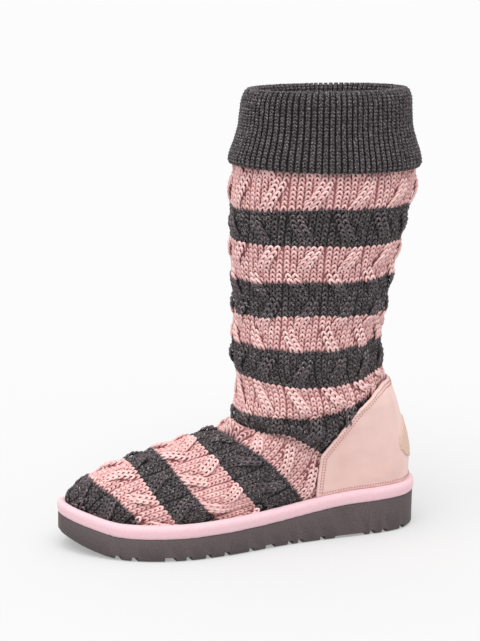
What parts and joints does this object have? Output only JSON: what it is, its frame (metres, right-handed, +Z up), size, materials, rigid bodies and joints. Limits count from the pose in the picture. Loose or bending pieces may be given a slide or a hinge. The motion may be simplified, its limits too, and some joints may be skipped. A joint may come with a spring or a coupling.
{
  "type": "knit boot",
  "caption": "Mid-calf knitted boot for the left foot, with a turned-down rib cuff, suede heel counter, rand and moulded sole.",
  "frame": {"origin": "on the floor, under the middle of the sole's length and on its long axis", "axes": "+Z up, the toe points to -Y, +X is the outer side of the foot, so the wearer's left"},
  "size_m": [0.1198, 0.273, 0.3235],
  "materials": {
    "sole_foam": "matt moulded foam rubber, dark taupe",
    "rand_suede": "pale pink suede",
    "insole_felt": "cream pile",
    "knit": "cable knit in pink and charcoal stripes",
    "counter_suede": "pale pink suede",
    "patch_leather": "plain tan, smooth",
    "knit_cuff": "charcoal heather rib knit"
  },
  "bodies": {
    "root": {"outsole": "sole_foam", "rand": "rand_suede", "insole": "insole_felt", "upper": "knit", "heel_counter": "counter_suede", "heel_patch": "patch_leather", "cuff": "knit_cuff"}
  },
  "joints": []
}
